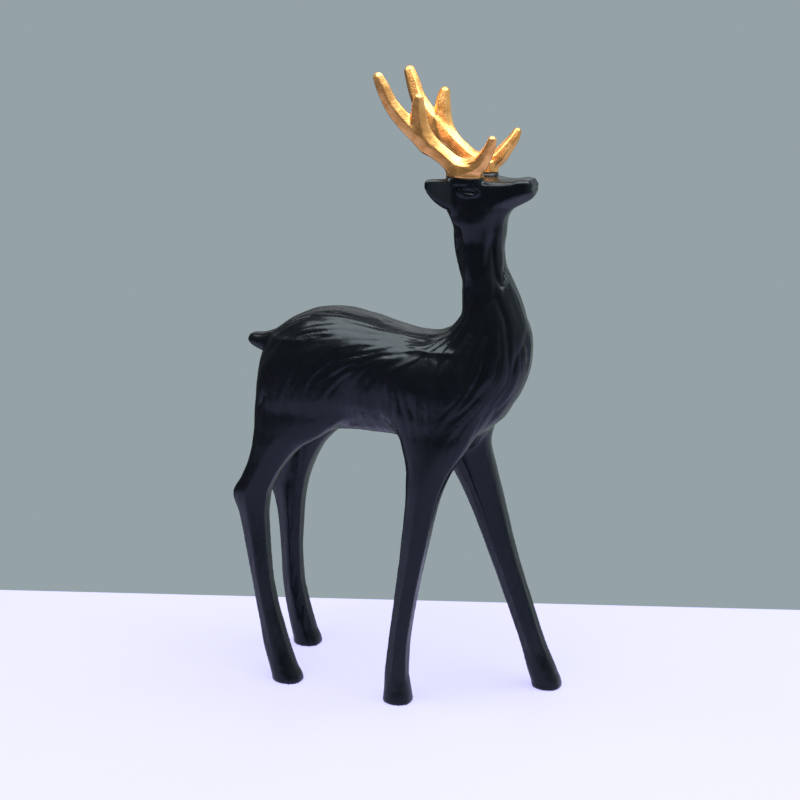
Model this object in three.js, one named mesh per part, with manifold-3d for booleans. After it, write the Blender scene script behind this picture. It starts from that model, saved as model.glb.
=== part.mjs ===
// A standing stag figure: a black cast-resin body on four hooves, and two gold antlers on its head.
// Millimetres. +Z is up, +X is the way the stag faces and +Y is its left.
// The origin is on the ground, under the middle of the figure's bounding box.

import * as THREE from "three";
import { LoftGeometry } from "three/addons/geometries/LoftGeometry.js";
import { mergeVertices } from "three/addons/utils/BufferGeometryUtils.js";
import Module from "manifold-3d";

const wasm = await Module();
wasm.setup();

// Driving dimensions

const HOOF_STANCE = 21.5; // from the middle plane to the middle of a hoof
const HOOF_RIM = 2; // height of the flat rim round a hoof's sole
const SEAT_HEIGHT = 243.4; // the flat on the head where the antlers stand
const SEAT_RADIUS = 5.2; // half the width of an antler's seat
const SEAT_FLARE = 0.04; // how much wider a seat grows with each millimetre down
const SEAT_LENGTH = 16.6; // from the back of a seat to its front
const SEAT_MIDDLE = [36.2, 9]; // how far forward and how far out a seat is centred
const SEAT_FOOT = 4; // how far a seat's foot reaches down into the head
const EAR_THICKNESS = 5;
const EYE_SPOT = [39.5, 11.8, 237.6]; // forward, out and up
const EYE_SIZE = [8, 2.4, 3.4]; // length, bulge and height of the almond
const MOUTH_CORNER = 62; // how far forward the corner of the mouth is
const MOUTH_LEVEL = 239;
const MOUTH_GAP = 0.7;
const ANTLER_DEPTH = 1.1; // an antler's section, front to back over side to side
const ANTLER_FOOT = 5; // height of the flared foot of an antler
const FOOT_TAPER = [0.02, 0.06]; // how much shorter and narrower the foot grows with each millimetre up
const LOCK_DEPTH = 0.55; // height of a carved lock of fur over the ground between locks

// How square the sections are: 2 is an ellipse
const TRUNK_SQUARENESS = 2.3;
const NECK_SQUARENESS = 2.2;
const HEAD_SQUARENESS = 2.8;
const LEG_SQUARENESS = 2.3;
const TAIL_SQUARENESS = 2.2;
const SEAT_SQUARENESS = 2.4;

// How finely the forms are faceted: sides round a section, and sections along the form
const TRUNK_FACETS = [40, 36];
const NECK_FACETS = [36, 28];
const HEAD_FACETS = [26, 18];
const TAIL_FACETS = [14, 8];
const FORELEG_FACETS = [12, 23];
const HINDLEG_FACETS = [12, 26];
const EAR_FACETS = [12, 9];
const EYE_FACETS = [14, 8];
const BEAM_FACETS = [6, 17];
const TINE_FACETS = [6, 9];
const SEAT_SIDES = 16;

// Trunk, from rump to breast: position along X, top, underside, half width
const TRUNK = [
  [-66.4, 150, 136, 4],
  [-65, 156.4, 129, 9.5],
  [-61.6, 162.4, 124.5, 14.5],
  [-56, 168.4, 121.6, 18.2],
  [-48, 173.6, 121, 20.2],
  [-38, 177.4, 121.4, 21.2],
  [-28, 178.6, 122.2, 21.2],
  [-14, 177, 123.2, 20.6],
  [0, 173.8, 123.2, 20],
  [12, 172, 121, 20],
  [24, 172.6, 118.6, 19.8],
  [36, 168, 119.6, 17.6],
  [46, 158, 128, 13],
  [52, 150, 138, 7],
];

// Breast and neck, going up: height, back, front, half width
const NECK = [
  [124, 22, 38, 8],
  [130.4, 16, 46.4, 14],
  [138.5, 13, 53.8, 16.8],
  [146.5, 13, 58.6, 18],
  [154, 15, 61.6, 18],
  [161.6, 18, 63.4, 17.2],
  [169, 23, 64, 15.8],
  [176, 28.6, 63.2, 14],
  [184, 33, 60.8, 12.4],
  [194.6, 33.2, 56.6, 10.8],
  [205, 30.4, 51.8, 9.6],
  [213, 28.8, 50.6, 9.2],
  [221, 28.4, 51.4, 9.8],
  [228, 29.4, 54.6, 10.2],
  [234, 30, 56, 10],
];

// Head, from nape to nose: position along X, top, underside, half width
const HEAD = [
  [26, 240.4, 230, 8],
  [28.5, 241.8, 226, 11],
  [33, 242.4, 220, 13.2],
  [39, 242.4, 220, 13.2],
  [45, 242.2, 222, 11.4],
  [51, 241.8, 226.4, 9.2],
  [56, 242.2, 230, 7.6],
  [60, 243, 232.2, 6.8],
  [63, 242.8, 234, 6],
  [65, 241.2, 236, 4.2],
];

// Legs, going up: height, back, front, distance out of the middle, half width
const RIGHT_FORELEG = [
  [0, 4.2, 16.8, HOOF_STANCE, 6.2],
  [HOOF_RIM, 4, 17, HOOF_STANCE, 6.4],
  [7, 4.2, 16.2, 21.2, 5.8],
  [14.2, 4.6, 14.9, 20.9, 5.2],
  [26.5, 6, 15.2, 20.6, 4.9],
  [50.9, 8.9, 18.5, 19.7, 4.9],
  [74.7, 11.6, 23.2, 18.6, 5.4],
  [98, 13.2, 28.2, 17.2, 6.4],
  [109.3, 13, 32.4, 16.2, 7.4],
  [123.9, 9, 41, 13, 8.6],
  [136, 4, 46, 11.6, 9.6],
  [147, 4, 48, 11, 9.6],
  [157, 8, 48, 9.6, 8.6],
  [164, 14, 44, 8, 6],
];
const LEFT_FORELEG = [
  [0, 61.8, 74.6, HOOF_STANCE, 6.2],
  [HOOF_RIM, 61.2, 74.8, HOOF_STANCE, 6.4],
  [7.9, 59.2, 72.8, 21.2, 5.8],
  [19.6, 56.2, 67.4, 20.8, 5],
  [42.4, 48, 59.5, 20, 5],
  [65.1, 39.6, 52.3, 19, 5.4],
  [87.3, 30.8, 46.8, 17.8, 6.2],
  [105.6, 22, 43, 15.8, 7.2],
  [118, 14, 41, 13.6, 8.2],
  [136, 4, 45, 11.6, 9.6],
  [147, 4, 48, 11, 9.6],
  [157, 8, 48, 9.6, 8.6],
  [164, 14, 44, 8, 6],
];
const RIGHT_HINDLEG = [
  [0, -53.4, -39.8, HOOF_STANCE, 6.2],
  [HOOF_RIM, -54, -39.8, HOOF_STANCE, 6.4],
  [7.1, -55.6, -42.2, 21.4, 5.8],
  [15, -57.8, -45.6, 21.1, 5.2],
  [27, -60.2, -49.6, 20.7, 4.8],
  [38.9, -62.6, -53.1, 20.3, 4.7],
  [50.7, -64.8, -55.3, 20, 4.7],
  [70.3, -69, -57.4, 19.3, 5.2],
  [80, -71.2, -58, 18.9, 5.6],
  [89.5, -74.6, -57.2, 18.4, 6.2],
  [97.9, -70.4, -53.8, 17.8, 6.8],
  [106.3, -67, -48.4, 16.8, 7.6],
  [114.4, -65.2, -41, 14.8, 8.2],
  [122.3, -64.8, -29, 13, 9],
  [132, -65.2, -20, 11.8, 10.4],
  [143, -64.4, -18, 11, 11],
  [154, -61.4, -22, 10, 10.6],
  [163, -56, -30, 8.4, 8],
];
const LEFT_HINDLEG = [
  [0, -64.2, -51.4, HOOF_STANCE, 6.2],
  [HOOF_RIM, -64.6, -51.2, HOOF_STANCE, 6.4],
  [8, -66, -53.4, 21.4, 5.8],
  [22.9, -68.4, -57.6, 20.9, 4.9],
  [35.7, -69.6, -59.7, 20.4, 4.7],
  [48.4, -69.8, -60, 20, 4.7],
  [64.9, -70.6, -59, 19.5, 5],
  [75, -72, -58, 19.2, 5.5],
  [84.5, -74.4, -56, 18.7, 6.2],
  [93, -70.8, -52.8, 18, 6.8],
  [105.8, -66.4, -45.6, 16.2, 7.8],
  [116, -65, -36, 14.2, 8.4],
  [124, -64.8, -26, 12.8, 9.2],
  [132, -65.2, -20, 11.8, 10.4],
  [143, -64.4, -18, 11, 11],
  [154, -61.4, -22, 10, 10.6],
  [163, -56, -30, 8.4, 8],
];

// Tail, from its tip to its root: position along X, top, underside, half width
const TAIL = [
  [-74.6, 161.4, 157.6, 2.2],
  [-72, 162.6, 156, 3.8],
  [-68, 163, 154.4, 4.4],
  [-64, 164, 153, 4.6],
  [-58, 166, 150, 5],
];

// Ear, from its root to its tip: along, top, underside, as shares of its length and in millimetres
const EAR_ROOT = [32, 8];
const EAR_TIP = [23.6, 22.6];
const EAR = [
  [0, 242, 231],
  [0.35, 242.6, 231.4],
  [0.65, 243, 233.8],
  [0.88, 243.2, 237],
  [1, 242.4, 239.4],
];

// Antlers, as lines of [forward, out, up, half thickness], each from its root to its tip
const BEAM = [
  [38, 9.2, 246.2, 3.6],
  [31.5, 9.4, 248.4, 3.7],
  [26.7, 9.9, 251.9, 3.5],
  [21.2, 10.7, 255.9, 3.7],
  [15.8, 11.6, 260.4, 3.7],
  [8.6, 13.1, 267.2, 3.4],
  [4, 14.6, 273.6, 3],
  [1.2, 15.8, 280, 2.7],
  [-0.8, 16.5, 284.6, 2.2],
];
const MID_TINE = [
  [20, 10.8, 256.6, 3.8],
  [17.7, 12, 262, 3.6],
  [16.8, 12.9, 267, 3.2],
  [16.6, 13.7, 272, 2.8],
  [17.1, 14.4, 276.6, 2],
];
const BROW_TINE = [
  [35, 9.4, 246.4, 3.6],
  [43.4, 10.4, 249.2, 3.2],
  [46.6, 11.8, 253, 2.7],
  [49.4, 13.6, 257.2, 2.2],
  [51, 15, 260.8, 1.6],
];

// Values between the rows of a table, on a smooth curve that doesn't overshoot them.
// A row is [position, value, value...], and the function returned takes a position.
function between(rows) {
  const last = rows.length - 1;
  const rise = (i, k) => (rows[i + 1][k] - rows[i][k]) / (rows[i + 1][0] - rows[i][0]);
  const slope = (i, k) => {
    if (i === 0) return rise(0, k);
    if (i === last) return rise(last - 1, k);
    const before = rise(i - 1, k);
    const after = rise(i, k);
    return before * after > 0 ? (2 * before * after) / (before + after) : 0;
  };
  return (position) => {
    const t = THREE.MathUtils.clamp(position, rows[0][0], rows[last][0]);
    let i = 0;
    while (i < last - 1 && t > rows[i + 1][0]) i += 1;
    const span = rows[i + 1][0] - rows[i][0];
    const s = (t - rows[i][0]) / span;
    return rows[i].slice(1).map((value, column) => {
      const k = column + 1;
      const ease = s * s * (3 - 2 * s);
      const leave = s * (1 - s) * (1 - s) * span * slope(i, k);
      const arrive = s * s * (1 - s) * span * slope(i + 1, k);
      return value * (1 - ease) + rows[i + 1][k] * ease + leave - arrive;
    });
  };
}

// Positions from the first row of a table to its last, set closer together near the ends.
function stations(rows, count) {
  const first = rows[0][0];
  const length = rows[rows.length - 1][0] - first;
  return Array.from({ length: count }, (_, i) => {
    const t = i / (count - 1);
    return first + length * (0.6 * t + 0.2 * (1 - Math.cos(Math.PI * t)));
  });
}

// A rounded outline about the origin: power 2 is an ellipse, and a higher one is squarer.
function outline(sides, halfWidth, halfHeight, power, turn = 0) {
  const bend = (value) => Math.sign(value) * Math.abs(value) ** (2 / power);
  return Array.from({ length: sides }, (_, j) => {
    const angle = ((j + turn) / sides) * 2 * Math.PI;
    return [halfWidth * bend(Math.cos(angle)), halfHeight * bend(Math.sin(angle))];
  });
}

// Sections joined into a closed solid.
function loft(sections) {
  const { attributes, index } = new LoftGeometry(sections, { capStart: true, capEnd: true });
  return solidOf(attributes.position, index);
}

function solidOf(position, index) {
  const skin = new THREE.BufferGeometry();
  skin.setAttribute("position", position);
  skin.setIndex(index);
  const merged = mergeVertices(skin, 1e-4);
  const mesh = new wasm.Mesh({
    numProp: 3,
    vertProperties: new Float32Array(merged.attributes.position.array),
    triVerts: new Uint32Array(merged.index.array),
  });
  return new wasm.Manifold(mesh);
}

function meshOf(name, solid, material) {
  const { vertProperties, triVerts } = solid.getMesh();
  const geometry = new THREE.BufferGeometry();
  geometry.setAttribute("position", new THREE.BufferAttribute(vertProperties, 3));
  geometry.setIndex(new THREE.BufferAttribute(triVerts, 1));
  const mesh = new THREE.Mesh(geometry, material);
  mesh.name = name;
  return mesh;
}

// A form that runs along X on the middle plane: the trunk, the head or the tail.
function lengthwise(rows, [sides, count], power, carve = () => 0) {
  const at = between(rows);
  const sections = stations(rows, count).map((x) => {
    const [top, bottom, halfWidth] = at(x);
    const middle = (top + bottom) / 2;
    return outline(sides, halfWidth, (top - bottom) / 2, power).map(([y, z]) => {
      const swell = 1 + carve(x, middle + z) / Math.hypot(y, z);
      return new THREE.Vector3(x, y * swell, middle + z * swell);
    });
  });
  return loft(sections);
}

// The breast and the neck, which run up the middle plane.
function neck() {
  const at = between(NECK);
  return loft(
    stations(NECK, NECK_FACETS[1]).map((z) => {
      const [back, front, halfWidth] = at(z);
      return outline(NECK_FACETS[0], (front - back) / 2, halfWidth, NECK_SQUARENESS).map(([x, y]) => {
        const swell = 1 + neckLocks(Math.atan2(Math.abs(y), x), z) / Math.hypot(x, y);
        return new THREE.Vector3((front + back) / 2 + x * swell, y * swell, z);
      });
    }),
  );
}

// A leg, faceted below and carved like the trunk where it joins it.
function leg(rows, [sides, count], side) {
  const at = between(rows);
  return loft(
    stations(rows, count).map((z) => {
      const [back, front, out, halfWidth] = at(z);
      const middle = (front + back) / 2;
      return outline(sides, (front - back) / 2, halfWidth, LEG_SQUARENESS, 0.5).map(([x, y]) => {
        const swell = 1 + legLocks(middle + x, z) / Math.hypot(x, y);
        return new THREE.Vector3(middle + x * swell, side * out + y * swell, z);
      });
    }),
  );
}

// Carved fur

// Locks fan out of a whorl at the withers, run back over the trunk and bend down at the haunch.
const WHORL = [27, 166]; // forward and up
const FAN_REACH = 90;
const FAN_BEND = 1.1; // turn of a lock over that reach, in radians
const LOCKS_PER_TURN = 30;
function trunkLocks(x, z) {
  const back = WHORL[0] - x;
  const down = WHORL[1] - z;
  const far = Math.hypot(back, down) / FAN_REACH;
  const stream = Math.atan2(down, back) - FAN_BEND * far * far;
  const fade = THREE.MathUtils.smoothstep(far, 0.1, 0.4);
  return LOCK_DEPTH * fade * Math.sin(LOCKS_PER_TURN * stream);
}

// The locks of the trunk go on down the top of a leg and end above its shank.
const LEG_FUR = [104, 124]; // heights where the fur on a leg begins and is full
function legLocks(x, z) {
  return trunkLocks(x, z) * THREE.MathUtils.smoothstep(z, ...LEG_FUR);
}

// Locks run down the neck, the same on both sides, and sweep back as they near the breast.
const NECK_LOCKS = 9;
const NECK_SWEEP = 0.035;
const BREAST_FUR = [120, 150]; // heights where the fur on the breast begins and is full
const THROAT_FUR = [202, 232]; // heights where the fur on the neck starts to fade and is gone
function neckLocks(angle, z) {
  const { smoothstep } = THREE.MathUtils;
  const fade = smoothstep(z, ...BREAST_FUR) * (1 - smoothstep(z, ...THROAT_FUR));
  return LOCK_DEPTH * fade * Math.sin(NECK_LOCKS * angle + NECK_SWEEP * z);
}

// The body, cast in one piece

function ear(side) {
  const at = between(EAR);
  const [sides, count] = EAR_FACETS;
  const root = new THREE.Vector2(...EAR_ROOT);
  const tip = new THREE.Vector2(...EAR_TIP);
  const across = tip.clone().sub(root).normalize().rotateAround(new THREE.Vector2(), Math.PI / 2);
  const sections = Array.from({ length: count }, (_, i) => {
    const t = i / (count - 1);
    const [top, bottom] = at(t);
    const middle = root.clone().lerp(tip, t);
    const halfThickness = (EAR_THICKNESS / 2) * Math.sqrt(1.04 - t * t);
    return outline(sides, halfThickness, (top - bottom) / 2, 2).map(([u, v]) => {
      const spot = middle.clone().addScaledVector(across, u);
      return new THREE.Vector3(spot.x, side * spot.y, (top + bottom) / 2 + v);
    });
  });
  if (side < 0) sections.forEach((section) => section.reverse());
  return loft(sections);
}

// An outline on an antler's seat, at a height over the seat's flat top.
function seatOutline(side, height, lengthShare, widthShare) {
  const halfLength = (SEAT_LENGTH / 2) * lengthShare;
  return outline(SEAT_SIDES, halfLength, SEAT_RADIUS * widthShare, SEAT_SQUARENESS).map(
    ([x, y]) => new THREE.Vector3(SEAT_MIDDLE[0] + x, side * SEAT_MIDDLE[1] + y, SEAT_HEIGHT + height),
  );
}

// The seat that an antler stands on, a low boss with a flat top.
function antlerSeat(side) {
  const flare = 1 + SEAT_FLARE * SEAT_FOOT;
  return loft([seatOutline(side, -SEAT_FOOT, flare, flare), seatOutline(side, 0, 1, 1)]);
}

function eye(side) {
  const [forward, out, up] = EYE_SPOT;
  const ball = new THREE.SphereGeometry(0.5, ...EYE_FACETS);
  ball.scale(...EYE_SIZE).translate(forward, side * out, up);
  return solidOf(ball.attributes.position, ball.index);
}

// The slit of the mouth, open from its corners to the tip of the muzzle.
function mouth() {
  const reach = 20;
  const slit = new THREE.BoxGeometry(reach, reach, MOUTH_GAP);
  slit.translate(MOUTH_CORNER + reach / 2, 0, MOUTH_LEVEL);
  return solidOf(slit.attributes.position, slit.index);
}

function body() {
  const pieces = [
    lengthwise(HEAD, HEAD_FACETS, HEAD_SQUARENESS).subtract(mouth()),
    neck(),
    lengthwise(TRUNK, TRUNK_FACETS, TRUNK_SQUARENESS, trunkLocks),
    lengthwise(TAIL, TAIL_FACETS, TAIL_SQUARENESS),
    leg(RIGHT_FORELEG, FORELEG_FACETS, -1),
    leg(LEFT_FORELEG, FORELEG_FACETS, 1),
    leg(RIGHT_HINDLEG, HINDLEG_FACETS, -1),
    leg(LEFT_HINDLEG, HINDLEG_FACETS, 1),
    ...[-1, 1].flatMap((side) => [ear(side), eye(side), antlerSeat(side)]),
  ];
  return pieces.reduce((whole, piece) => whole.add(piece));
}

// An antler: a beam that sweeps back and up, a tine on its middle and a brow tine in front

function prong(line, [sides, count], side) {
  const path = new THREE.CatmullRomCurve3(line.map(([x, y, z]) => new THREE.Vector3(x, side * y, z)));
  const thickness = between(line.map((point, i) => [i / (line.length - 1), point[3]]));
  const lateral = new THREE.Vector3(0, 1, 0);
  const section = (t, shrink, ahead) => {
    const tangent = path.getTangent(t);
    const u = lateral.clone().addScaledVector(tangent, -lateral.dot(tangent)).normalize();
    const v = tangent.clone().cross(u);
    const half = thickness(t)[0];
    const middle = path.getPoint(t).addScaledVector(tangent, ahead * half);
    return outline(sides, half * shrink, half * ANTLER_DEPTH * shrink, 2, 0.5).map(([a, b]) =>
      middle.clone().addScaledVector(u, a).addScaledVector(v, b),
    );
  };
  const shaft = Array.from({ length: count }, (_, i) => section(i / (count - 1), 1, 0));
  const tip = [section(1, 0.8, 0.5), section(1, 0.4, 0.8)];
  return loft([...shaft, ...tip]);
}

function antler(side) {
  const [shorter, narrower] = FOOT_TAPER.map((taper) => 1 - taper * ANTLER_FOOT);
  const foot = loft([seatOutline(side, 0, 1, 1), seatOutline(side, ANTLER_FOOT, shorter, narrower)]);
  const prongs = [
    prong(BEAM, BEAM_FACETS, side),
    prong(MID_TINE, TINE_FACETS, side),
    prong(BROW_TINE, TINE_FACETS, side),
  ];
  const whole = prongs.reduce((sum, piece) => sum.add(piece), foot);
  return whole.subtract(underSeat());
}

// Everything under the level of the seats, which an antler's flat foot doesn't reach into.
function underSeat() {
  const size = 200;
  const block = new THREE.BoxGeometry(size, size, size);
  block.translate(0, 0, SEAT_HEIGHT - size / 2);
  return solidOf(block.attributes.position, block.index);
}

const blackResin = new THREE.MeshStandardMaterial({ color: 0x0b0d10, roughness: 0.38, metalness: 0 });
const goldPaint = new THREE.MeshStandardMaterial({ color: 0xc8924a, roughness: 0.4, metalness: 0.85 });

const stag = new THREE.Group();
stag.add(
  meshOf("body", body(), blackResin),
  meshOf("antler_right", antler(-1), goldPaint),
  meshOf("antler_left", antler(1), goldPaint),
);

export default stag;
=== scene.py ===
import math

import bpy
import numpy as np
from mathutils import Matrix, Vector


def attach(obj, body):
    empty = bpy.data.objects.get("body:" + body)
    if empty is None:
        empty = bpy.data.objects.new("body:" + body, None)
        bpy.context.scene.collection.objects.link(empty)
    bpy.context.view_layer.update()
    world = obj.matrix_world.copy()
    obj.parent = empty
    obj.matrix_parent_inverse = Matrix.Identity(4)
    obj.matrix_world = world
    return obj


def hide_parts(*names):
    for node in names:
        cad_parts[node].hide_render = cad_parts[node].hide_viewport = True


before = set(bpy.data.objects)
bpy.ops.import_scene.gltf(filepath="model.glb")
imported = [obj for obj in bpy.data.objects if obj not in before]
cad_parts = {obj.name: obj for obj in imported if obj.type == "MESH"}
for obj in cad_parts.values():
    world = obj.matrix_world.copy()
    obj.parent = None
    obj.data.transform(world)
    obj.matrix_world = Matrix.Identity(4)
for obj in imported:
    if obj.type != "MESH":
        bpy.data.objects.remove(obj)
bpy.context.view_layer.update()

# Sizes in this script are in millimetres until a mesh is made.
MM = 0.001
FAR = 60.0

# Trunk: station along X, then top, bottom and half width.
TRUNK = [
    (-66.4, 150, 136, 4), (-65, 156.4, 129, 9.5), (-61.6, 162.4, 124.5, 14.5),
    (-56, 168.4, 121.6, 18.2), (-48, 173.6, 121, 20.2), (-38, 177.4, 121.4, 21.2),
    (-28, 178.6, 122.2, 21.2), (-14, 177, 123.2, 20.6), (0, 173.8, 123.2, 20),
    (12, 172, 121, 20), (24, 172.6, 118.6, 19.8), (36, 168, 119.6, 17.6),
    (43, 157, 131, 11.5), (47, 149, 139, 5),
]
# Neck: height, then back, front and half width.
NECK = [
    (119.4, 26, 33, 2), (124, 22, 38, 8), (130.4, 16, 46.4, 14), (138.5, 13, 53.8, 16.8),
    (146.5, 13, 58.6, 18), (154, 15, 61.6, 18), (161.6, 18, 63.4, 17.2),
    (169, 23, 64, 15.8), (176, 28.6, 63.2, 14), (184, 33, 60.8, 12.4),
    (194.6, 33.2, 56.6, 10.8), (205, 30.4, 51.8, 9.6), (213, 28.8, 50.6, 9.2),
    (221, 28.4, 51.4, 10.2), (228, 29.4, 51.6, 10.6), (234, 30, 45, 9.6),
]
# Head: station along X, then top, bottom and half width.
HEAD = [
    (26, 240.4, 230, 8), (28.5, 241.8, 226, 10.4), (33, 242.4, 220, 11.8),
    (39, 242.4, 220, 12), (45, 242.2, 222, 10.8), (51, 241.8, 226.4, 9),
    (56, 242.2, 230, 7.6), (60, 243, 232.2, 6.8), (63, 242.8, 234, 6),
    (65, 241.2, 236, 4.2),
]
# Tail: station along X, then top, bottom and half width.
TAIL = [
    (-74.6, 161.4, 157.6, 2.2), (-72, 162.6, 156, 3.8), (-68, 163, 154.4, 4.4),
    (-64, 164, 153, 4.6), (-58, 166, 150, 5),
]
# Legs: height, then back, front, distance of the middle from the centre plane, half width.
SHOULDER = [(136, 4, 46, 11.6, 9.6), (147, 4, 48, 11, 9.6), (157, 8, 48, 9.6, 8.6), (164, 14, 44, 8, 6)]
HAUNCH = [
    (132, -65.2, -20, 12.4, 10.4), (143, -64.4, -18, 11.3, 11), (154, -61.4, -22, 10, 10.6),
    (163, -56, -30, 8.4, 8),
]
RIGHT_FORELEG = [
    (0, 4.2, 16.8, 21.5, 6.2), (2, 4, 17, 21.5, 6.4), (7, 4.2, 16.2, 21.2, 5.8),
    (14.2, 4.6, 14.9, 20.9, 5.2), (26.5, 6, 15.2, 20.6, 4.9), (50.9, 8.9, 18.5, 19.7, 4.9),
    (74.7, 11.6, 23.2, 18.6, 5.4), (98, 13.2, 28.2, 17, 6.4), (109.3, 13, 32.4, 15.7, 7.4),
    (123.9, 9, 41, 13.7, 8.6), *SHOULDER,
]
LEFT_FORELEG = [
    (0, 61.8, 74.6, 21.5, 6.2), (2, 61.2, 74.8, 21.5, 6.4), (7.9, 59.2, 72.8, 21.2, 5.8),
    (19.6, 56.2, 67.4, 20.8, 5), (42.4, 48, 59.5, 20, 5), (65.1, 39.6, 52.3, 19, 5.4),
    (87.3, 30.8, 46.8, 17.8, 6.2), (105.6, 22, 43, 15.8, 7.2), (118, 14, 41, 13.6, 8.2), *SHOULDER,
]
RIGHT_HINDLEG = [
    (0, -53.4, -39.8, 21.5, 6.2), (2, -54, -39.8, 21.5, 6.4), (7.1, -55.6, -42.2, 21.4, 5.8),
    (15, -57.8, -45.6, 21.1, 5.2), (27, -60.2, -49.6, 20.7, 4.8), (38.9, -62.6, -53.1, 20.3, 4.7),
    (50.7, -64.8, -55.3, 20, 4.7), (70.3, -69, -57.4, 18.7, 5.2), (80, -71.2, -58, 18.1, 5.6),
    (89.5, -74.6, -57.2, 17.4, 6.2), (97.9, -70.4, -53.8, 16.7, 6.8), (106.3, -67, -48.4, 15.8, 7.6),
    (114.4, -65.2, -41, 15.2, 8.2), (122.3, -64.8, -29, 14.2, 9), *HAUNCH,
]
LEFT_HINDLEG = [
    (0, -64.2, -51.4, 21.5, 6.2), (2, -64.6, -51.2, 21.5, 6.4), (8, -66, -53.4, 21.4, 5.8),
    (22.9, -68.4, -57.6, 20.9, 4.9), (35.7, -69.6, -59.7, 20.4, 4.7), (48.4, -69.8, -60, 20, 4.7),
    (64.9, -70.6, -59, 19.5, 5), (75, -72, -58, 19.2, 5.5), (84.5, -74.4, -56, 18.7, 6.2),
    (93, -70.8, -52.8, 17.4, 6.8), (105.8, -66.4, -45.6, 15.5, 7.8), (116, -65, -36, 14.2, 8.4),
    (124, -64.8, -26, 12.8, 9.2), *HAUNCH,
]
# Ear: share of the way from root to tip, then top and bottom.
EAR = [(0, 242, 227.6), (0.35, 242.6, 229.6), (0.65, 243, 232.8), (0.88, 243.2, 236.6), (1, 242.4, 239.4)]
EAR_ROOT, EAR_TIP = (32, 8), (23.6, 22.6)
EAR_HALF_THICKNESS = 2.5
# Low black seats that carry the antlers: middle, half length, half width and level of the joint.
SEAT_MIDDLE, SEAT_HALF_LENGTH, SEAT_HALF_WIDTH, SEAT_LEVEL = (36.2, 8.7), 8.3, 4.7, 243.4
SEAT_ROOT = 240.5
# Eye: middle and half sizes, then height and width of the lids and depth and size of the pit.
EYE, EYE_HALF = (39.5, 237.6), (3.8, 1.6)
LID_HEIGHT, LID_AT, LID_WIDTH = 0.75, 1.05, 0.28
PIT_DEPTH, PIT_SIZE = 0.22, 0.75
CHEEK_FROM = (6, 9)
MOUTH_LEVEL, MOUTH_DEPTH, MOUTH_HALF = 239.0, 0.28, 0.5
MOUTH_FROM = (59.5, 62)
HOOF_RIM, HOOF_RIM_TOP = 0.25, (1.5, 2.6)
# Antlers: points along each prong as X, distance from the centre plane, Z and half thickness.
BEAM = [
    (38, 9.2, 246.2, 3.6), (31.5, 9.4, 248.4, 3.7), (26.7, 9.9, 251.9, 3.5), (21.2, 10.7, 255.9, 3.7),
    (15.8, 11.6, 260.4, 3.7), (8.6, 13.1, 267.2, 3.4), (4, 14.6, 273.6, 3), (1.2, 15.8, 280, 2.7),
    (-0.8, 16.5, 284.6, 2.2),
]
MID_TINE = [
    (20, 10.8, 256.6, 3.8), (17.7, 12, 262, 3.6), (16.8, 12.9, 267, 3.2), (16.6, 13.7, 272, 2.8),
    (17.1, 14.4, 276.6, 2),
]
BROW_TINE = [
    (35, 9.4, 246.4, 3.6), (43.4, 10.4, 249.2, 3.2), (46.6, 11.8, 253, 2.7), (49.4, 13.6, 257.2, 2.2),
    (51, 15, 260.8, 1.6),
]
# Lie of the fur on the flank: X, Z, then the direction in which it is combed.
FUR_LIE = [
    (13, 172, -0.98, 0.18), (-12, 175, -0.99, 0.11), (-34, 176, -1, -0.05), (-34, 171, -0.98, -0.18),
    (-43, 168, -0.83, -0.56), (-52, 158, -0.31, -0.95), (-58, 145, -0.05, -1), (-61, 129, -0.11, -0.99),
    (-12, 162, -0.95, -0.3), (6, 165, -0.92, -0.38), (-25, 153, -0.78, -0.62), (-37, 152, -0.48, -0.88),
    (-44, 137, -0.21, -0.98), (-4, 148, -0.44, -0.9), (6, 146, 0.05, -1), (18, 144, 0.05, -1),
    (11, 135, 0.2, -0.98), (0, 138, 0.25, -0.97), (-13, 140, 0, -1), (28, 162, -0.21, -0.98),
    (35, 159, -0.11, -0.99), (25, 145, -0.09, -1), (23, 132, 0, -1), (40, 174, -0.37, -0.93),
    (47, 189, -0.26, -0.96), (57, 164, -0.11, -0.99), (51, 150, -0.74, -0.67), (38, 140, -0.78, -0.62),
    (33, 133, -0.54, -0.84), (57, 189, 0.44, -0.9), (61, 173, 0.16, -0.99), (30, 172, -0.54, -0.84),
    (20, 110, 0, -1), (-60, 112, -0.05, -1), (-38, 126, -0.3, -0.95), (44, 205, -0.1, -1),
    (38, 225, 0, -1),
]


def ramp(value, start, end):
    """0 before start, 1 after end, with a smooth rise between."""
    t = np.clip((value - start) / (end - start), 0, 1)
    return t * t * (3 - 2 * t)


def melt(a, b, reach):
    """Two forms joined with a fillet."""
    near = np.maximum(reach - np.abs(a - b), 0) / reach
    return np.minimum(a, b) - near * near * reach / 4


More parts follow.
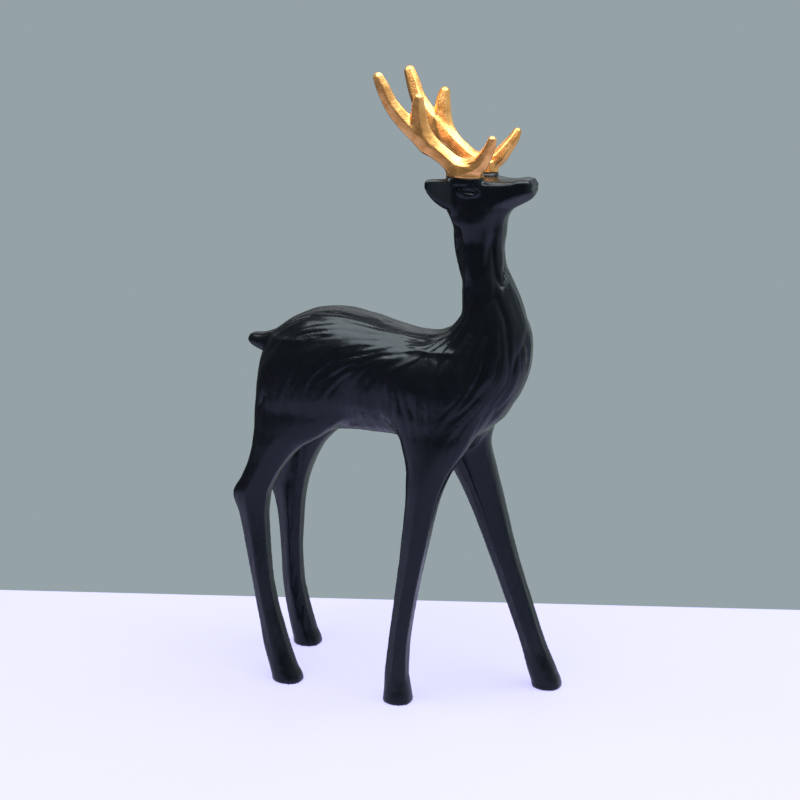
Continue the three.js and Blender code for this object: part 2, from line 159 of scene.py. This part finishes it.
class Curve:
    """Values that run smoothly, without overshoot, through the rows of a table."""

    def __init__(self, rows, steps=1600):
        rows = np.array(rows, float)
        at, value = rows[:, 0], rows[:, 1:]
        rise = np.diff(value, axis=0) / np.diff(at)[:, None]
        before, after = rise[:-1], rise[1:]
        even = before * after > 0
        slope = np.empty_like(value)
        slope[0], slope[-1] = rise[0], rise[-1]
        slope[1:-1] = np.where(even, 2 * before * after / np.where(even, before + after, 1), 0)
        self.at = np.linspace(at[0], at[-1], steps)
        i = np.clip(np.searchsorted(at, self.at, side="right") - 1, 0, len(at) - 2)
        gap = (at[i + 1] - at[i])[:, None]
        s = (self.at - at[i])[:, None] / gap
        self.value = (
            (2 * s**3 - 3 * s**2 + 1) * value[i]
            + (s**3 - 2 * s**2 + s) * gap * slope[i]
            + (3 * s**2 - 2 * s**3) * value[i + 1]
            + (s**3 - s**2) * gap * slope[i + 1]
        ).T

    def __call__(self, t):
        return [np.interp(t, self.at, row) for row in self.value]

    def past(self, t):
        """Distance beyond either end."""
        return np.maximum(self.at[0] - t, t - self.at[-1])


def oval(u, v, a, b, power):
    """Distance to a rounded outline with half sizes a and b."""
    qa, qb = np.abs(u) / a + 1e-6, np.abs(v) / b + 1e-6
    ra, rb = qa ** (power - 1), qb ** (power - 1)
    total = ra * qa + rb * qb
    size = total ** (1 / power)
    return (size - 1) * total / size / np.hypot(ra / a, rb / b)


EDGE_POWER = 32


def faceted(u, v, a, b, sides):
    """Distance to a many-sided outline; its sides say where they face and how far out they lie."""
    qa, qb = u / a, v / b
    faces = [(math.cos(math.radians(t)) / r, math.sin(math.radians(t)) / r) for t, r in sides]
    peak = np.full(u.shape, 1e-3)
    for c, s in faces:
        peak = np.maximum(peak, qa * c + qb * s)
    total = slope_a = slope_b = 0
    for c, s in faces:
        r = np.maximum(qa * c + qb * s, 0) / peak
        r2 = r * r
        r4 = r2 * r2
        r8 = r4 * r4
        # One less than EDGE_POWER.
        power = r8 * r8 * r8 * r4 * r2 * r
        total = total + power * r
        slope_a = slope_a + power * c
        slope_b = slope_b + power * s
    total = np.maximum(total, 1)
    root = total ** (1 / EDGE_POWER)
    steepness = np.maximum(np.hypot(slope_a / a, slope_b / b), 0.02)
    return (peak * root - 1) * total / root / steepness


def both(sides):
    """The same sides on the other side of the centre plane too."""
    return sides + [(-t, r) for t, r in sides if t % 180]


trunk_form, neck_form, head_form, tail_form = Curve(TRUNK), Curve(NECK), Curve(HEAD), Curve(TAIL)
ear_form = Curve(EAR)
legs = [
    (Curve(RIGHT_FORELEG), -1), (Curve(LEFT_FORELEG), 1),
    (Curve(RIGHT_HINDLEG), -1), (Curve(LEFT_HINDLEG), 1),
]
# Sides of the carved sections: the direction each one faces, in degrees, and how far out it lies.
LEG_SIDES = both([(0, 1), (62, 1), (118, 1), (180, 1)])
NECK_SIDES = both([(0, 1), (42, 1), (85, 1), (122, 1), (152, 1), (180, 1)])
CHEEK_SIDES = [(0, 1), (45, 1.27), (90, 1), (135, 1.27), (180, 1), (225, 1.22), (270, 1), (315, 1.22)]
MUZZLE_SIDES = [(0, 1), (45, 1.27), (90, 1), (135, 1.27), (180, 1), (225, 0.88), (270, 1), (315, 0.88)]
BELLY_SIDES = [(0, 1), (45, 1.1), (90, 1), (135, 1.1), (180, 1), (228, 0.97), (270, 1), (312, 0.97)]
PRONG_SIDES = [(t, 1) for t in range(50, 410, 60)]
# Roundness of the soft sections: 2 is an ellipse, more is squarer.
TRUNK_POWER, NECK_POWER, LEG_POWER, TAIL_POWER, EAR_POWER, SEAT_POWER = 2.3, 2.2, 2.3, 2.2, 3.2, 2.4
# Boxes round the forms: beyond them a form's distance isn't worked out.
TRUNK_BOX = (-66, -21, 118), (52, 21, 179)
NECK_BOX = (13, -18, 119), (64, 18, 234)
HEAD_BOX = (26, -13, 220), (65, 13, 243)
TAIL_BOX = (-75, -5, 150), (-58, 5, 166)
EAR_BOX = (22, -24, 230), (34, 24, 244)
SEAT_BOX = (27, -15, 238), (45, 15, 244)
LEG_OUT, LEG_TOP = 28, 164
# Fillets where the forms meet.
NECK_FILLET, HEAD_FILLET, LEG_FILLET, TAIL_FILLET, EAR_FILLET, SEAT_FILLET = 8, 5, 6, 3, 2.4, 1.2
PRONG_FILLET, FOOT_FILLET = 2.2, 2.4


def near_box(p, box, form, margin=14):
    """The form's distance close to its box, and a large one elsewhere."""
    low, high = box
    here = np.all((p > np.array(low) - margin) & (p < np.array(high) + margin), axis=1)
    out = np.full(len(p), FAR)
    if here.any():
        out[here] = form(*p[here].T)
    return out


def trunk_distance(x, y, z):
    top, bottom, half = trunk_form(x)
    middle, high = (top + bottom) / 2, (top - bottom) / 2
    side = oval(y, z - middle, half, high, TRUNK_POWER)
    crisp = faceted(y, z - middle, half, high, BELLY_SIDES)
    # Only the belly is faceted, and the chest draws in to leave room for the neck and shoulders.
    share = 0.7 * ramp(middle - z, 2, 14)
    side = side * (1 - share) + crisp * share
    return np.maximum(side + 1.3 * ramp(x, 12, 38), trunk_form.past(x))


def neck_distance(x, y, z):
    back, front, half = neck_form(z)
    # Only the upper neck is faceted.
    share = 0.9 * ramp(z, 190, 212)
    middle, deep = (back + front) / 2, (front - back) / 2
    soft = oval(x - middle, y, deep, half, NECK_POWER)
    crisp = faceted(x - middle, y, deep, half, NECK_SIDES)
    return np.maximum(soft * (1 - share) + crisp * share, neck_form.past(z))


def head_distance(x, y, z):
    top, bottom, half = head_form(x)
    middle, high = (top + bottom) / 2, (top - bottom) / 2
    # The skull is wider at the top than at the jaw.
    half = half + 0.9 * np.clip((z - middle) / high, -1, 1) * (1 - ramp(x, 44, 54))
    cheek = faceted(y, z - middle, half, high, CHEEK_SIDES)
    muzzle = faceted(y, z - middle, half, high, MUZZLE_SIDES)
    share = ramp(x, 41, 54)
    return np.maximum(cheek * (1 - share) + muzzle * share, head_form.past(x))


def leg_distance(form, side):
    """Distance function of one leg; side is -1 for the right and 1 for the left."""
    def distance(x, y, z):
        back, front, out, half = form(z)
        u, v = x - (back + front) / 2, side * y - out
        deep = (front - back) / 2
        crisp = faceted(u, v, deep, 0.94 * half, LEG_SIDES)
        soft = oval(u, v, deep, half, LEG_POWER)
        # The shank is faceted, the hoof and the thigh are round, and the hip draws in under the trunk.
        share = np.maximum(ramp(z, 64, 140), 0.75 * (1 - ramp(z, 5, 20)))
        d = crisp * (1 - share) + soft * share
        d = d + 0.8 * ramp(z, 124, 152)
        return np.maximum(d, form.past(z))
    return distance


def ear_distance(x, y, z):
    along = np.array(EAR_TIP) - np.array(EAR_ROOT)
    length = np.hypot(*along)
    ax, ay = along / length
    dx, dy = x - EAR_ROOT[0], np.abs(y) - EAR_ROOT[1]
    t = (dx * ax + dy * ay) / length
    top, bottom = ear_form(t)
    high = (top - bottom) / 2
    v = z - (top + bottom) / 2
    thick = EAR_HALF_THICKNESS * np.sqrt(np.maximum(1.04 - np.clip(t, 0, 1) ** 2, 0.04))
    across = dy * ax - dx * ay
    d = np.maximum(oval(across, v, thick, high, EAR_POWER), (t - 1) * length)
    # The outer face of the ear is dished.
    dish = np.sqrt(((t - 0.55) / 0.42) ** 2 + (v / (0.72 * high)) ** 2 + 1e-6)
    return d + 0.4 * np.maximum(1 - dish, 0) * (across < 0)


def seat_distance(x, y, z):
    side = oval(x - SEAT_MIDDLE[0], np.abs(y) - SEAT_MIDDLE[1], SEAT_HALF_LENGTH, SEAT_HALF_WIDTH, SEAT_POWER)
    return np.maximum(side, np.maximum(z - SEAT_LEVEL, SEAT_ROOT - z))


def tail_distance(x, y, z):
    top, bottom, half = tail_form(x)
    side = oval(y, z - (top + bottom) / 2, half, (top - bottom) / 2, TAIL_POWER)
    return np.maximum(side, tail_form.past(x))


def body_distance(p):
    x, y, z = p.T
    d = near_box(p, TRUNK_BOX, trunk_distance)
    d = melt(d, near_box(p, NECK_BOX, neck_distance), NECK_FILLET)
    d = melt(d, near_box(p, HEAD_BOX, head_distance), HEAD_FILLET)
    for form, side in legs:
        low = (form.value[0].min(), min(0, LEG_OUT * side), 0)
        high = (form.value[1].max(), max(0, LEG_OUT * side), LEG_TOP)
        d = melt(d, near_box(p, (low, high), leg_distance(form, side)), LEG_FILLET)
    d = melt(d, near_box(p, TAIL_BOX, tail_distance), TAIL_FILLET)
    d = melt(d, near_box(p, EAR_BOX, ear_distance), EAR_FILLET)
    d = melt(d, near_box(p, SEAT_BOX, seat_distance), SEAT_FILLET)
    # Eye: a raised rim round a sunken almond.
    e = np.hypot((x - EYE[0]) / EYE_HALF[0], (z - EYE[1]) / EYE_HALF[1])
    lids = LID_HEIGHT * np.exp(-(((e - LID_AT) / LID_WIDTH) ** 2))
    pit = PIT_DEPTH * np.exp(-((e / PIT_SIZE) ** 4))
    d = d - ramp(np.abs(y), *CHEEK_FROM) * (lids - pit)
    # Mouth: a groove round the end of the muzzle.
    d = d + MOUTH_DEPTH * np.exp(-(((z - MOUTH_LEVEL) / MOUTH_HALF) ** 2)) * ramp(x, *MOUTH_FROM)
    # Hoof: a thin rim at the sole, and flat soles.
    d = d - HOOF_RIM * (1 - ramp(z, *HOOF_RIM_TOP))
    return np.maximum(d, -z)


class Prong:
    """A tapering, six-sided rod along a smooth path."""

    def __init__(self, points, side, steps=110):
        points = np.array(points, float) * (1, side, 1, 1)
        path = Curve(np.column_stack([np.arange(len(points)), points]), steps)
        self.middle = path.value[:3].T
        self.half = path.value[3]
        self.along = np.gradient(self.middle, axis=0)
        self.step = np.linalg.norm(self.along, axis=1)
        self.along /= self.step[:, None]
        self.taper = np.gradient(self.half) / self.step
        out = np.array((0, side, 0.0))
        self.flat = out - self.along * (self.along @ out)[:, None]
        self.flat /= np.linalg.norm(self.flat, axis=1)[:, None]
        self.edge = -side * np.cross(self.along, self.flat)

    def distance(self, p, batch=40000):
        nearest = np.empty(len(p), int)
        for start in range(0, len(p), batch):
            part = p[start : start + batch]
            apart = (part**2).sum(1)[:, None] - 2 * part @ self.middle.T + (self.middle**2).sum(1)
            nearest[start : start + batch] = apart.argmin(1)
        away = p - self.middle[nearest]
        along = (away * self.along[nearest]).sum(1)
        half = self.half[nearest] + self.taper[nearest] * np.clip(along, -1, 1)
        u = (away * self.flat[nearest]).sum(1)
        v = (away * self.edge[nearest]).sum(1)
        # Mostly faceted, and a little deeper than wide.
        crisp, soft = faceted(u, v, 0.96 * half, half * 1.06, PRONG_SIDES), oval(u, v, half, half * 1.1, 2)
        d = 0.85 * crisp + 0.15 * soft
        last = len(self.half) - 1
        beyond = np.where((nearest == 0) | (nearest == last), np.abs(along), 0)
        return np.hypot(np.maximum(d + half, 0), beyond) - half


def antler_distance(side):
    """Distance function of one antler; side is -1 for the right and 1 for the left."""
    prongs = [Prong(points, side) for points in (BEAM, MID_TINE, BROW_TINE)]

    def distance(p):
        x, y, z = p.T
        d = FAR
        for prong in prongs:
            d = melt(d, prong.distance(p), PRONG_FILLET)
        # The foot tapers up from the seat and leans back.
        rise = np.clip(z - SEAT_LEVEL, 0, 5)
        foot = oval(
            x - SEAT_MIDDLE[0] + 0.06 * rise, side * y - SEAT_MIDDLE[1],
            SEAT_HALF_LENGTH - 0.25 * rise, SEAT_HALF_WIDTH - 0.2 * rise, SEAT_POWER,
        )
        foot = np.maximum(foot, z - SEAT_LEVEL - 4)
        d = melt(d, foot, FOOT_FILLET)
        return np.maximum(d, SEAT_LEVEL - z)
    return distance


class Grid:
    """Distances on a coarse grid, read between its points."""

    def __init__(self, distance, low, high, step):
        self.low, self.step = np.array(low, float), step
        self.count = np.ceil((np.array(high) - self.low) / step).astype(int) + 1
        axes = [self.low[i] + step * np.arange(self.count[i]) for i in range(3)]
        points = np.stack(np.meshgrid(*axes, indexing="ij"), -1).reshape(-1, 3)
        self.value = distance(points).reshape(self.count)
        self.slope = np.stack(np.gradient(self.value, step), -1)

    def read(self, field, p):
        q = np.clip((p - self.low) / self.step, 0, self.count - 1.001)
        i = q.astype(int)
        f = q - i
        out = 0
        for corner in np.ndindex(2, 2, 2):
            share = np.prod(np.where(corner, f, 1 - f), axis=1)
            value = field[tuple((i + corner).T)]
            out = out + (share[:, None] * value if value.ndim == 2 else share * value)
        return out


def any_corner(field):
    """True in each cell that has a true corner."""
    for axis in range(3):
        ahead = np.take(field, range(1, field.shape[axis]), axis)
        behind = np.take(field, range(0, field.shape[axis] - 1), axis)
        field = ahead | behind
    return field


def skin(distance, coarse, split):
    """Points and four-cornered faces of the surface, from cells that are split times finer."""
    step = coarse.step / split
    # Only cells near the surface are split.
    fine = any_corner(np.abs(coarse.value) < 1.9 * coarse.step)
    for axis in range(3):
        fine = np.repeat(fine, split, axis)
    wanted = any_corner(np.pad(fine, 1))
    count = (coarse.count - 1) * split + 1
    nearest = [np.minimum((np.arange(n) + split // 2) // split, c - 1) for n, c in zip(count, coarse.count)]
    value = coarse.value[np.ix_(*nearest)].copy()
    spots = np.argwhere(wanted)
    value[wanted] = distance(coarse.low + step * spots)
    inside = value < 0
    cells = np.argwhere(any_corner(inside) & any_corner(~inside))
    number = np.full(count - 1, -1)
    number[tuple(cells.T)] = np.arange(len(cells))
    corners = {c: value[tuple((cells + c).T)] for c in np.ndindex(2, 2, 2)}
    spot, hits = np.zeros((len(cells), 3)), np.zeros(len(cells))
    for a in corners:
        for axis in range(3):
            if a[axis]:
                continue
            b = tuple(1 if i == axis else a[i] for i in range(3))
            crossed = (corners[a] < 0) != (corners[b] < 0)
            t = corners[a] / np.where(crossed, corners[a] - corners[b], 1)
            place = np.tile(np.array(a, float), (len(cells), 1))
            place[:, axis] = t
            spot += place * crossed[:, None]
            hits += crossed
    points = coarse.low + step * (cells + spot / hits[:, None])
    faces = []
    for axis in range(3):
        u, v = (axis + 1) % 3, (axis + 2) % 3
        first = np.take(inside, range(0, count[axis] - 1), axis)
        second = np.take(inside, range(1, count[axis]), axis)
        edges = np.argwhere(first != second)
        back_u, back_v = np.eye(3, dtype=int)[u], np.eye(3, dtype=int)[v]
        ring = [edges, edges - back_u, edges - back_u - back_v, edges - back_v]
        quads = np.column_stack([number[tuple(r.T)] for r in ring])
        outward = first[tuple(edges.T)]
        quads[~outward] = quads[~outward][:, ::-1]
        faces.append(quads)
    return points, np.concatenate(faces)


def slope_at(distance, p, reach=0.12):
    """Distance and outward direction at each point."""
    here = distance(p)
    away = np.column_stack([distance(p + reach * axis) - distance(p - reach * axis) for axis in np.eye(3)])
    length = np.linalg.norm(away, axis=1) + 1e-9
    return here / (length / (2 * reach)), away / length[:, None]


def settle(distance, points, rounds=2):
    """Points moved on to the surface, with the outward direction there."""
    for _ in range(rounds):
        off, outward = slope_at(distance, points)
        points = points - outward * np.clip(off, -0.8, 0.8)[:, None]
    return points, outward


class Grain:
    """Smooth random values in space that repeat after many cells."""

    def __init__(self, seed, size=64):
        self.size = size
        self.value = np.random.default_rng(seed).normal(size=(size, size, size))

    def __call__(self, p, cell):
        q = p / cell
        i = np.floor(q).astype(int)
        f = q - i
        f = f * f * (3 - 2 * f)
        out = 0
        for corner in np.ndindex(2, 2, 2):
            share = np.prod(np.where(corner, f, 1 - f), axis=1)
            out = out + share * self.value[tuple(((i + corner) % self.size).T)]
        return out


def fur_direction(p, outward):
    """Direction of the fur at each point, along the surface."""
    lie = np.array(FUR_LIE)
    near = 1 / ((p[:, :1] - lie[:, 0]) ** 2 + (p[:, 2:] - lie[:, 1]) ** 2 + 30) ** 2
    flow = np.column_stack([near @ lie[:, 2], np.zeros(len(p)), near @ lie[:, 3]])
    flow -= outward * (flow * outward).sum(1)[:, None]
    return flow / (np.linalg.norm(flow, axis=1) + 1e-9)[:, None]


# Steps walked along the fur each way, short ones first.
FUR_STEPS = [0.9] * 13 + [1.6] * 8


def strands(points, coarse, kinds):
    """Random values drawn out along the fur, one set for each grain, cell size and reach."""
    totals = [grain(points, cell) for grain, cell, _ in kinds]
    for way in (1, -1):
        p, gone = points, 0
        for step in FUR_STEPS:
            outward = coarse.read(coarse.slope, p)
            outward /= np.linalg.norm(outward, axis=1)[:, None] + 1e-9
            p = p + way * step * fur_direction(p, outward)
            p = p - outward * np.clip(coarse.read(coarse.value, p), -1, 1)[:, None]
            gone += step
            for i, (grain, cell, reach) in enumerate(kinds):
                if gone < reach:
                    share = step / FUR_STEPS[0] * (0.5 + 0.5 * math.cos(math.pi * gone / reach))
                    totals[i] = totals[i] + share * grain(p, cell)
    return [(t - t.mean()) / t.std() for t in totals]


def place(name, data):
    """A new object in the scene."""
    thing = bpy.data.objects.new(name, data)
    bpy.context.scene.collection.objects.link(thing)
    return thing


def mesh_piece(name, points, faces, material):
    mesh = bpy.data.meshes.new(name)
    mesh.from_pydata((points * MM).tolist(), [], faces.tolist())
    mesh.polygons.foreach_set("use_smooth", np.ones(len(mesh.polygons), bool))
    mesh.materials.append(material)
    return place(name, mesh)


def new_material(name):
    material = bpy.data.materials.new(name)
    material.use_nodes = True
    tree = material.node_tree
    return material, tree, tree.nodes["Principled BSDF"]


def noise(tree, scale, detail=3.0, roughness=0.55):
    spot = tree.nodes.get("spot") or tree.nodes.new("ShaderNodeTexCoord")
    spot.name = "spot"
    node = tree.nodes.new("ShaderNodeTexNoise")
    node.inputs["Scale"].default_value = scale
    node.inputs["Detail"].default_value = detail
    node.inputs["Roughness"].default_value = roughness
    tree.links.new(spot.outputs["Object"], node.inputs["Vector"])
    return node


def spread(tree, source, low, high, to_low, to_high):
    node = tree.nodes.new("ShaderNodeMapRange")
    for socket, value in zip(("From Min", "From Max", "To Min", "To Max"), (low, high, to_low, to_high)):
        node.inputs[socket].default_value = value
    tree.links.new(source, node.inputs["Value"])
    return node.outputs["Result"]


def colours(tree, source, stops):
    node = tree.nodes.new("ShaderNodeValToRGB")
    ramp_stops = node.color_ramp.elements
    while len(ramp_stops) < len(stops):
        ramp_stops.new(0.5)
    for stop, (position, colour) in zip(ramp_stops, stops):
        stop.position = position
        stop.color = (*colour, 1)
    tree.links.new(source, node.inputs["Fac"])
    return node.outputs["Color"]


def bump(tree, source, strength, depth):
    node = tree.nodes.new("ShaderNodeBump")
    node.inputs["Strength"].default_value = strength
    node.inputs["Distance"].default_value = depth
    tree.links.new(source, node.inputs["Height"])
    return node.outputs["Normal"]


def black_resin():
    material, tree, shader = new_material("black_resin")
    cloud = noise(tree, 55).outputs["Fac"]
    tree.links.new(
        colours(tree, cloud, [(0.3, (0.0022, 0.0027, 0.0036)), (0.7, (0.0042, 0.005, 0.0068))]),
        shader.inputs["Base Color"],
    )
    wear = noise(tree, 240).outputs["Fac"]
    tree.links.new(spread(tree, wear, 0.3, 0.7, 0.2, 0.3), shader.inputs["Roughness"])
    shader.inputs["Specular IOR Level"].default_value = 0.25
    shader.inputs["Specular Tint"].default_value = (0.78, 0.93, 1, 1)
    grit = noise(tree, 1500, 2).outputs["Fac"]
    tree.links.new(bump(tree, grit, 0.05, 0.0002), shader.inputs["Normal"])
    return material


def gold_paint():
    material, tree, shader = new_material("gold_paint")
    cloud = noise(tree, 160, 4).outputs["Fac"]
    tree.links.new(
        colours(tree, cloud, [
            (0.3, (0.58, 0.27, 0.075)), (0.55, (0.78, 0.4, 0.13)), (0.75, (0.87, 0.49, 0.185)),
        ]),
        shader.inputs["Base Color"],
    )
    shader.inputs["Metallic"].default_value = 0.86
    wear = noise(tree, 420, 3).outputs["Fac"]
    tree.links.new(spread(tree, wear, 0.3, 0.7, 0.31, 0.45), shader.inputs["Roughness"])
    grit = noise(tree, 900, 3).outputs["Fac"]
    tree.links.new(bump(tree, grit, 0.35, 0.0003), shader.inputs["Normal"])
    return material


# Body: corners and cell of the coarse grid, and how many fine cells go along one coarse one.
BODY_LOW, BODY_HIGH, BODY_CELL, SPLIT = (-78, -31.54, -3.32), (78, 31.54, 248), 3.32, 4
# Fur: cell size and reach along the fur of the broad locks and of the fine hair.
LOCK_CELL, LOCK_REACH, HAIR_CELL, HAIR_REACH = 4.2, 24, 1.9, 20
# Depth of the locks and of the hair on the trunk, what the back and neck add, and the depth on the legs.
LOCK_DEPTH, LOCK_ON_BACK, LOCK_ON_NECK, LOCK_ON_LEG = 0.34, -0.2, 0.55, 0.06
HAIR_DEPTH, HAIR_ON_BACK, HAIR_ON_LEG = 0.2, 0.08, 0.05
NOSE_DEPTH, NOSE_CELL = 0.06, 1.9


def fur_height(points, coarse):
    """How far the carved fur stands out at each point."""
    x, z = points[:, 0], points[:, 2]
    broad, fine = strands(
        points, coarse, [(Grain(3), LOCK_CELL, LOCK_REACH), (Grain(8), HAIR_CELL, HAIR_REACH)],
    )
    trunk = ramp(z, 120, 142) * (1 - ramp(z, 208, 232)) * ramp(x, -68, -60)
    leg = ramp(z, 4, 12) * (1 - ramp(z, 118, 140))
    back = ramp(z, 158, 170) * (1 - ramp(x, 14, 34))
    neck = ramp(z + 0.5 * x, 176, 190)
    lock_depth = trunk * (LOCK_DEPTH + LOCK_ON_BACK * back + LOCK_ON_NECK * neck) + LOCK_ON_LEG * leg
    hair_depth = trunk * (HAIR_DEPTH + HAIR_ON_BACK * back) + HAIR_ON_LEG * leg
    locks = np.minimum(np.abs(broad), 1.6) ** 0.65 - 0.75
    # Hair is rounded ridges, and on the back half of it is thin cut lines.
    ridges = np.minimum(np.abs(fine), 1.6) - 0.7
    lines = np.tanh(2.4 * np.abs(fine)) - 0.8
    return lock_depth * locks + hair_depth * (ridges * (1 - 0.5 * back) + lines * 0.5 * back)


def build_body(material):
    coarse = Grid(body_distance, BODY_LOW, BODY_HIGH, BODY_CELL)
    points, faces = skin(body_distance, coarse, SPLIT)
    points, outward = settle(body_distance, points)
    x, z = points[:, 0], points[:, 2]
    # The pad of the nose is pebbled.
    pebbles = NOSE_DEPTH * Grain(5)(points, NOSE_CELL) * ramp(x, 57.5, 60) * ramp(z, 233, 236)
    points = points + outward * (fur_height(points, coarse) + pebbles)[:, None]
    points[:, 2] = np.maximum(points[:, 2], 0)
    return mesh_piece("body_skin", points, faces, material)


# Antler: corners of the grid for the left one, and the cell of the grid.
ANTLER_LOW, ANTLER_HIGH, ANTLER_CELL = (-5, 2.0, 241), (56, 21.0, 289), 1.6
# Broad and small dents: depth and cell size.
BROAD_DENT, BROAD_DENT_CELL, SMALL_DENT, SMALL_DENT_CELL = 0.05, 5, 0.02, 1.6


def build_antler(name, side, material):
    distance = antler_distance(side)
    inner, outer = sorted((ANTLER_LOW[1] * side, ANTLER_HIGH[1] * side))
    low, high = (ANTLER_LOW[0], inner, ANTLER_LOW[2]), (ANTLER_HIGH[0], outer, ANTLER_HIGH[2])
    coarse = Grid(distance, low, high, ANTLER_CELL)
    points, faces = skin(distance, coarse, SPLIT)
    points, outward = settle(distance, points)
    dents = Grain(20 + side)(points, BROAD_DENT_CELL) * BROAD_DENT
    dents += Grain(30 + side)(points, SMALL_DENT_CELL) * SMALL_DENT
    dents = dents * ramp(points[:, 2], SEAT_LEVEL, SEAT_LEVEL + 1)
    points = points + outward * dents[:, None]
    points[:, 2] = np.maximum(points[:, 2], SEAT_LEVEL)
    return mesh_piece(name, points, faces, material)


resin, gold = black_resin(), gold_paint()
body = build_body(resin)
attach(body, "root")
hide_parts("body")
for name, side in (("antler_right", -1), ("antler_left", 1)):
    antler = build_antler(name + "_skin", side, gold)
    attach(antler, "root")
    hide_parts(name)

# Stage, in metres. Camera at the photograph's angle, with its distance and lens fitted to the photograph.
AZIMUTH, ELEVATION, DISTANCE, LENS, SENSOR = math.radians(24), math.radians(16), 0.82, 81.18, 36
AIM = Vector((0.002, 0, 0.138))
RIGHT = Vector((math.cos(AZIMUTH), math.sin(AZIMUTH), 0))
AHEAD = Vector((-math.sin(AZIMUTH), math.cos(AZIMUTH), 0))
# Corners of the table top, to the right and ahead of the figure, with the far edge as in the photograph.
TABLE_CORNERS = [(-0.6, 0.137), (1.3, 0.012), (1.3, -0.4), (-0.6, -0.4)]
# Lamps: name, place, aim, size and power in watts.
LAMPS = [
    ("overhead", (0.1, -0.12, 1.05), (0.02, 0, 0.12), (1.7, 0.9), 36),
    ("behind", (-0.55, 0.85, 0.8), (0, 0, 0.15), (1.0, 0.6), 1.5),
]


def add_camera():
    toward = Vector((
        math.sin(AZIMUTH) * math.cos(ELEVATION),
        -math.cos(AZIMUTH) * math.cos(ELEVATION),
        math.sin(ELEVATION),
    ))
    camera = place("camera", bpy.data.cameras.new("camera"))
    camera.data.lens = LENS
    camera.data.sensor_width = SENSOR
    camera.location = AIM + toward * DISTANCE
    camera.rotation_euler = (-toward).to_track_quat("-Z", "Y").to_euler()
    bpy.context.scene.camera = camera


def pale_floor():
    """A dim surface with a glow of its own, so that the table is even and the resin reflects it."""
    material, tree, shader = new_material("pale_floor")
    cloud = noise(tree, 6).outputs["Fac"]
    tree.links.new(
        colours(tree, cloud, [(0.3, (0.125, 0.123, 0.14)), (0.7, (0.13, 0.128, 0.145))]),
        shader.inputs["Base Color"],
    )
    shader.inputs["Roughness"].default_value = 0.7
    shader.inputs["Emission Color"].default_value = (0.55, 0.545, 0.95, 1)
    shader.inputs["Emission Strength"].default_value = 1.0
    return material


def add_table():
    mesh = bpy.data.meshes.new("table")
    mesh.from_pydata([RIGHT * a + AHEAD * b for a, b in TABLE_CORNERS], [], [(0, 3, 2, 1)])
    mesh.materials.append(pale_floor())
    table = place("table", mesh)


def add_lamp(name, spot, aim, size, power):
    light = bpy.data.lights.new(name, "AREA")
    light.shape = "RECTANGLE"
    light.size, light.size_y = size
    light.energy = power
    lamp = place(name, light)
    lamp.location = spot
    lamp.visible_camera = False
    lamp.rotation_euler = (Vector(aim) - Vector(spot)).to_track_quat("-Z", "Y").to_euler()


def add_world():
    """A plain grey wall for the eye, and for reflections a dark room that is lighter to the right."""
    world = bpy.data.worlds.new("studio")
    bpy.context.scene.world = world
    world.use_nodes = True
    sky = world.node_tree
    wall = sky.nodes["Background"]
    wall.inputs["Color"].default_value = (0.3, 0.36, 0.385, 1)
    room = sky.nodes.new("ShaderNodeBackground")
    room.inputs["Color"].default_value = (0.82, 0.96, 1, 1)
    way = sky.nodes.new("ShaderNodeTexCoord")
    facing = sky.nodes.new("ShaderNodeVectorMath")
    facing.operation = "DOT_PRODUCT"
    facing.inputs[1].default_value = 0.17 * AHEAD + 0.98 * RIGHT
    sky.links.new(way.outputs["Generated"], facing.inputs[0])
    sky.links.new(spread(sky, facing.outputs["Value"], -0.2, 0.75, 0.09, 0.65), room.inputs["Strength"])
    eye = sky.nodes.new("ShaderNodeLightPath")
    choice = sky.nodes.new("ShaderNodeMixShader")
    sky.links.new(eye.outputs["Is Camera Ray"], choice.inputs["Fac"])
    sky.links.new(room.outputs["Background"], choice.inputs[1])
    sky.links.new(wall.outputs["Background"], choice.inputs[2])
    sky.links.new(choice.outputs["Shader"], sky.nodes["World Output"].inputs["Surface"])


add_camera()
add_table()
for lamp in LAMPS:
    add_lamp(*lamp)
add_world()
bpy.context.scene.view_settings.view_transform = "Standard"
